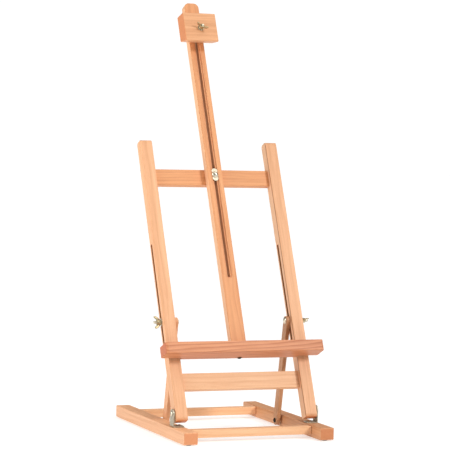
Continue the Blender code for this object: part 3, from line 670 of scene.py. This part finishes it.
def threadedEnd(name, direction):
    centre, low, high = axisLine(name, direction)
    made = bmesh.new()
    length = high - low - bolts["threadShort"]
    addMesh(made, threadMesh(bolts["slotRadius"], length), standing(centre + direction * low, direction))
    tip = bmesh.new()
    under = -bolts["tipLength"]
    lathe(tip, [(0, 0.0), (bolts["tip"], 0.0), (bolts["tipBase"], under), (0, under)], bolts["shankSteps"])
    addMesh(made, meshOf(tip, "tip"), standing(centre + direction * high, direction))
    finishPiece(f"{name}_threaded", made, platedSteel, "slot_bolt_ends", [name], bolts["sharp"])


roundHeadBolt("mast_bolt", bolts["mast"], outFrame)
roundHeadBolt("clamp_bolt", bolts["clamp"], -outFrame)
for side, outward in (("left", toLeft), ("right", toRight)):
    threadedEnd(f"{side}_slot_bolt_end", outward)
    roundHeadBolt(f"{side}_slot_bolt_head", bolts["slot"], -outward)
print("bolts threaded")


crossHead = {
    "recessWidth": 0.0011,
    "recessReach": 0.55,  # share of the head's radius
    "recessDepth": 0.0013,
    "recessTaper": 0.55,  # the recess narrows inwards
    "point": 0.001,
    "steps": 20,
    "sharp": 30,
}


# One piece from a shape copied onto each start, its Z along that start's direction.
def copiesOnPoints(name, mesh, starts, directions, spins, finish, stands):
    points = bpy.data.meshes.new("points")
    points.from_pydata([tuple(point) for point in starts], [], [])
    points.attributes.new("facing", "FLOAT_VECTOR", "POINT")
    points.attributes.new("spin", "FLOAT", "POINT")
    for index, direction in enumerate(directions):
        points.attributes["facing"].data[index].vector = direction
        points.attributes["spin"].data[index].value = spins[index]
    shape = addObject("shape", mesh)
    made = bmesh.new()
    made.from_mesh(madeBy(onPoints, points, {"Part": shape, "Finish": finish}))
    bpy.data.objects.remove(shape)
    finishPiece(name, made, finish, bodyOf(stands[0]), stands, crossHead["sharp"])


# What each set stands in for, the way and the turn of each head, and its sizes: the head's radius and height,
# and the shank's radius.
screws = {
    "hinge_screws_crosshead": {
        "stands": ("left_hinge_screw", "right_hinge_screw"),
        "directions": (toLeft, toRight),
        "spins": (0.4, 1.1),
        "sizes": (0.005, 0.003, 0.0025),
        "finish": platedSteel,
        "slot": "zinc",
    },
    "bracket_screws_crosshead": {
        "stands": ("left_bracket_screw", "right_bracket_screw"),
        "directions": (upwards, upwards),
        "spins": (0.6, 0.2),
        "sizes": (0.0038, 0.0022, 0.002),
        "finish": platedSteel,
        "slot": "zinc",
    },
    "strut_pivot_screws_crosshead": {
        "stands": ("left_strut_pivot_screw", "right_strut_pivot_screw"),
        "directions": (toRight, toLeft),
        "spins": (0.9, 0.3),
        "sizes": (0.005, 0.0025, 0.0025),
        "finish": blackSteel,
        "slot": "dark_steel",
    },
    "tray_screw_crosshead": {
        "stands": ("tray_screw",),
        "directions": (-upFrame,),
        "spins": (0.5,),
        "sizes": (0.0042, 0.0022, 0.002),
        "finish": blackSteel,
        "slot": "dark_steel",
    },
}


def crossRecess(radius, height):  # the cutter for a head's recess
    cross = bmesh.new()
    size = (2 * radius * crossHead["recessReach"], crossHead["recessWidth"], 2 * crossHead["recessDepth"])
    for turn in (0, math.pi / 2):
        made = bmesh.ops.create_cube(cross, size=1)["verts"]
        bmesh.ops.scale(cross, vec=size, verts=made)
        for vert in made:
            if vert.co.z < 0:
                vert.co.x *= crossHead["recessTaper"]
        bmesh.ops.rotate(cross, verts=made, cent=(0, 0, 0), matrix=Matrix.Rotation(turn, 3, "Z"))
        bmesh.ops.translate(cross, verts=made, vec=(0, 0, height))
    return addObject("cross", meshOf(cross, "cross"))


def crossHeadScrew(radius, height, shankRadius, length):
    shape = bmesh.new()
    domeHead(shape, radius, height)
    head = addObject("head", meshOf(shape, "head"))
    cutter = crossRecess(radius, height)
    recess = head.modifiers.new("recess", "BOOLEAN")
    recess.object = cutter
    recess.solver = "EXACT"
    recess.use_self = True
    bpy.context.view_layer.update()
    graph = bpy.context.evaluated_depsgraph_get()
    whole = bmesh.new()
    whole.from_mesh(bpy.data.meshes.new_from_object(head.evaluated_get(graph)))
    pointTop = crossHead["point"] - length
    shank = [(0, bolts["overlap"]), (shankRadius, 0), (shankRadius, pointTop), (0, -length)]
    lathe(whole, shank, crossHead["steps"])
    for item in (head, cutter):
        bpy.data.objects.remove(item)
    return meshOf(whole, "screw")


for name, screw in screws.items():
    headRadius, headHeight, shankRadius = screw["sizes"]
    starts = []
    for node, direction in zip(screw["stands"], screw["directions"]):
        centre, low, high = axisLine(node, direction)
        starts.append(centre + direction.normalized() * (high - headHeight))
        length = high - low - headHeight
    copiesOnPoints(
        name,
        crossHeadScrew(headRadius, headHeight, shankRadius, length),
        starts,
        screw["directions"],
        screw["spins"],
        screw["finish"],
        screw["stands"],
    )
print("screws set")

foot = {
    "radius": 0.0055,
    "height": 0.0017,
    "topEase": 0.0002,
    "ease": 0.0005,
    "groove": 0.0032,  # radius of the ring groove
    "grooveHalf": 0.0005,  # half its width
    "grooveFloor": 0.0003,  # half the width of its floor
    "grooveDepth": 0.0004,
    "dimple": 0.0016,  # where its nail goes in
    "dimpleSlope": 0.0003,
    "steps": 36,
    "easeSteps": 5,
    "spins": (0, 0.5, 1.0, 1.5),  # turn of each foot
}


def mouldedFeet():
    radius, height, top, ease = (foot[key] for key in ("radius", "height", "topEase", "ease"))
    ring, deep = foot["groove"], foot["grooveDepth"]
    half, floorHalf = foot["grooveHalf"], foot["grooveFloor"]
    profile = [(0, height), (radius - top, height), (radius, height - top)]
    profile += arc(radius - ease, ease, ease, 0, -90, foot["easeSteps"])
    profile += [(ring + half, 0), (ring + floorHalf, deep), (ring - floorHalf, deep), (ring - half, 0)]
    profile += [(foot["dimple"], 0), (foot["dimple"] - foot["dimpleSlope"], deep), (0, deep)]
    shape = bmesh.new()
    lathe(shape, profile, foot["steps"])
    stands = [f"{end}_{side}_foot_pad" for end in ("front", "rear") for side in ("left", "right")]
    starts = [axisLine(node, upwards)[0] for node in stands]
    directions = [upwards] * len(stands)
    mesh = meshOf(shape, "foot")
    copiesOnPoints("moulded_feet", mesh, starts, directions, foot["spins"], footRubber, stands)


mouldedFeet()
print("feet moulded")

wingNut = {
    "base": 0.0058,
    "neck": 0.0046,
    "hubHeight": 0.0085,
    "collar": 0.0016,
    "clearance": 0.0002,  # round the bolt
    "round": 0.0005,
    "roundSteps": (4, 3),  # at the top and round the collar
    "chamfer": 0.0003,
    "flare": 0.0003,  # how far the hub widens towards the collar
    "shoulder": 0.0012,
    "collarDrop": 0.0002,
    "steps": 36,
    "wingSteps": 14,
    "wingSquareness": 0.7,
    "sharp": 40,
    # distance from the axis, height, half depth and half thickness of a wing at each step
    "wing": (
        (0.0028, 0.0036, 0.0026, 0.0017),
        (0.0050, 0.0044, 0.0031, 0.00155),
        (0.0076, 0.0062, 0.0031, 0.0014),
        (0.0096, 0.0087, 0.0029, 0.0013),
        (0.0109, 0.0109, 0.0026, 0.0012),
        (0.01145, 0.01225, 0.0019, 0.0010),
        (0.01175, 0.01300, 0.0009, 0.0006),
    ),
    # joint that turns it, radius of its bolt, and its turn at rest in degrees
    "nuts": {
        "clamp_wing_nut": ("clamp_nut_spin", 0.0025, -27),
        "mast_wing_nut": ("mast_nut_spin", 0.0025, 65),
        "left_strut_wing_nut": ("left_strut_nut_spin", 0.003, 0),
        "right_strut_wing_nut": ("right_strut_nut_spin", 0.003, 90),
    },
}


# One wing: rounded sections that climb away from the hub.
def castWing(shape, mirror):
    stations = wingNut["wing"]
    count = wingNut["wingSteps"]
    rings = []
    for i, (reach, height, depth, thick) in enumerate(stations):
        before, after = stations[max(i - 1, 0)], stations[min(i + 1, len(stations) - 1)]
        path = Vector((after[0] - before[0], 0, after[1] - before[1])).normalized()
        side = Vector((-path.z, 0, path.x))
        ring = []
        for k in range(count):
            angle = math.tau * k / count
            bulge = math.sin(angle)
            place = Vector((reach, 0, height)) + side * (depth * math.cos(angle))
            place.y = thick * math.copysign(abs(bulge) ** wingNut["wingSquareness"], bulge)
            place.x *= mirror
            ring.append(shape.verts.new(place))
        rings.append(ring)
    for upper, lower in zip(rings, rings[1:]):
        for k in range(count):
            j = (k + 1) % count
            shape.faces.new((upper[k], upper[j], lower[j], lower[k]))
    shape.faces.new(rings[0])
    shape.faces.new(rings[-1])


def hubProfile(boltRadius):
    bore = boltRadius + wingNut["clearance"]
    base, neck, top, collar = (wingNut[key] for key in ("base", "neck", "hubHeight", "collar"))
    ease, chamfer = wingNut["round"], wingNut["chamfer"]
    topSteps, collarSteps = wingNut["roundSteps"]
    profile = [(bore, top), (neck - ease, top)] + arc(neck - ease, top - ease, ease, 90, 0, topSteps)
    profile += [(neck + wingNut["flare"], collar + wingNut["shoulder"])]
    profile += arc(base - ease, collar - wingNut["collarDrop"], ease, 60, 0, collarSteps)
    return profile + [(base, chamfer), (base - chamfer, 0), (bore + chamfer, 0), (bore, chamfer)]


for name, (jointName, boltRadius, turn) in wingNut["nuts"].items():
    shape = bmesh.new()
    lathe(shape, hubProfile(boltRadius), wingNut["steps"], closed=True)
    castWing(shape, 1)
    castWing(shape, -1)
    bmesh.ops.recalc_face_normals(shape, faces=shape.faces)
    joint = joints[jointName]
    made = bmesh.new()
    place = standing(Vector(joint["pos_m"]), joint["axis"], math.radians(turn))
    addMesh(made, meshOf(shape, "nut"), place)
    piece = finishPiece(f"{name}_cast", made, castBrass, name, [name], wingNut["sharp"])
    soften = piece.modifiers.new("soften", "SUBSURF")
    soften.levels = soften.render_levels = 1
print("wing nuts cast")

studio = {
    "floorSize": 40.0,
    "floorTone": 0.6,
    "floorMottle": (2.0, 2.0),
    "floorMottleTint": 0.99,
    "floorRough": 0.9,
    "floorSheen": 0.1,
    "floorGlow": 0.53,  # the floor is a light table
    "floorGap": 0.0002,
    "skyStrength": 0.20,
    "skySeen": 1.05,  # strength of the backdrop itself
    "sunStrength": 1.65,
    "sunAngle": 13.0,
    "sunFrom": (0.62, -0.819, 0.615),
    "sunColour": (1, 0.985, 0.96),
    "topStrength": 1.3,
    "topAngle": 70.0,
    "topFrom": (0.1, -0.15, 1),
    "topColour": (1, 0.99, 0.97),
    "sidePower": 10.0,
    "sideSize": 0.8,
    "sidePlace": (-1.2, -0.05, 0.75),
    "sideTarget": (0, -0.05, 0.4),
    "sideColour": (1, 0.985, 0.97),
}


def floorFinish():
    material, tree, shader = newTree("pale_floor")
    spot = tree.nodes.new("ShaderNodeTexCoord").outputs["Object"]
    cloud = noise(tree, spot, *studio["floorMottle"]).outputs[0]
    light = studio["floorTone"]
    dark = light * studio["floorMottleTint"]
    tone = mixColour(tree, cloud, (light, light, light, 1), (dark, dark, dark, 1))
    tree.links.new(tone, shader.inputs["Base Color"])
    shader.inputs["Roughness"].default_value = studio["floorRough"]
    shader.inputs["Specular IOR Level"].default_value = studio["floorSheen"]
    shader.inputs["Emission Color"].default_value = (1, 1, 1, 1)
    shader.inputs["Emission Strength"].default_value = studio["floorGlow"]
    return material


def layFloor():
    shape = bmesh.new()
    bmesh.ops.create_grid(shape, x_segments=1, y_segments=1, size=studio["floorSize"] / 2)
    mesh = meshOf(shape, "floor")
    mesh.materials.append(floorFinish())
    floor = addObject("floor", mesh)
    floor.location = (0, 0, cadBox[0].z - studio["floorGap"])


def addLight(name, kind, place, target, power, colour):
    lamp = bpy.data.lights.new(name, kind)
    lamp.energy = power
    lamp.color = colour
    holder = addObject(name, lamp)
    holder.location = place
    holder.rotation_mode = "QUATERNION"
    holder.rotation_quaternion = (Vector(target) - Vector(place)).to_track_quat("-Z", "Y")
    return lamp


def addSun(name, key, middle):
    place = middle + Vector(studio[f"{key}From"])
    lamp = addLight(name, "SUN", place, middle, studio[f"{key}Strength"], studio[f"{key}Colour"])
    lamp.angle = math.radians(studio[f"{key}Angle"])


def lightStudio():
    world = bpy.data.worlds.new("studio")
    world.use_nodes = True
    tree = world.node_tree
    sky = tree.nodes["Background"]
    sky.inputs["Color"].default_value = (1, 1, 1, 1)
    seen = tree.nodes.new("ShaderNodeLightPath").outputs["Is Camera Ray"]
    strength = remap(tree, seen, 0.0, 1.0, studio["skyStrength"], studio["skySeen"])
    tree.links.new(strength, sky.inputs["Strength"])
    bpy.context.scene.world = world
    middle = (cadBox[0] + cadBox[1]) / 2
    addSun("key", "sun", middle)
    addSun("above", "top", middle)
    place, target = studio["sidePlace"], studio["sideTarget"]
    side = addLight("side", "AREA", place, target, studio["sidePower"], studio["sideColour"])
    side.size = studio["sideSize"]
    bpy.context.scene.view_settings.view_transform = "Standard"


view = {
    "lens": 168.16,  # millimetres, on a sensor of the next width
    "sensor": 36,
    "azimuth": -21.98,  # degrees
    "elevation": 2.83,
    "roll": 1.435,
    "place": (-1.5883, -3.9494, 0.6231),
    "farthest": 100,
}


def aimCamera():
    lens = bpy.data.cameras.new("camera")
    lens.sensor_width = view["sensor"]
    lens.lens = view["lens"]
    lens.clip_end = view["farthest"]
    azimuth, elevation, roll = (math.radians(view[key]) for key in ("azimuth", "elevation", "roll"))
    level = math.cos(elevation)
    back = Vector((math.sin(azimuth) * level, -math.cos(azimuth) * level, math.sin(elevation)))
    right = Vector((-back.y, back.x, 0)).normalized()
    up = back.cross(right)
    rolledRight = math.cos(roll) * right + math.sin(roll) * up
    rolledUp = -math.sin(roll) * right + math.cos(roll) * up
    matrix = Matrix((rolledRight, rolledUp, back)).transposed().to_4x4()
    matrix.translation = view["place"]
    camera = addObject("camera", lens)
    camera.matrix_world = matrix
    bpy.context.scene.camera = camera


layFloor()
lightStudio()
aimCamera()
print("floor, lights and camera set")
